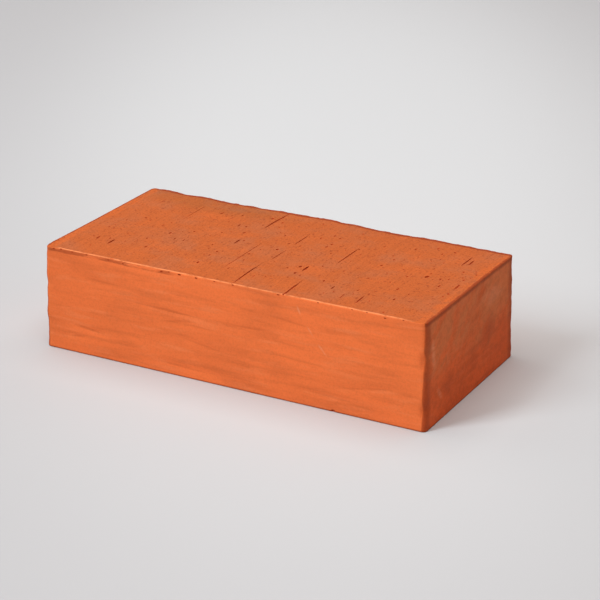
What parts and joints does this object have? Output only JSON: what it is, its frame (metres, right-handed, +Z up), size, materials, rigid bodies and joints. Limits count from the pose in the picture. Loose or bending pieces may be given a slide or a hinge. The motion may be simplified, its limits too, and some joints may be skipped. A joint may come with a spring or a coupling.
{
  "type": "solid clay brick",
  "caption": "Solid rectangular building brick of fired red clay, with smooth die-formed sides, rounded upright corners and furrowed wire-cut bed faces.",
  "frame": {"origin": "middle of the lower bed face, on the surface that the brick lies on", "axes": "+X along the length, +Y from the front stretcher to the back stretcher (the way the cutting wire went), +Z up through the bed faces"},
  "size_m": [0.25, 0.12, 0.065],
  "materials": {
    "fired_clay": "matt unglazed fired red clay, smooth die skin on the four sides, wire-dragged and pitted on the two bed faces"
  },
  "bodies": {
    "root": {"brick_body": "fired_clay"}
  },
  "joints": []
}
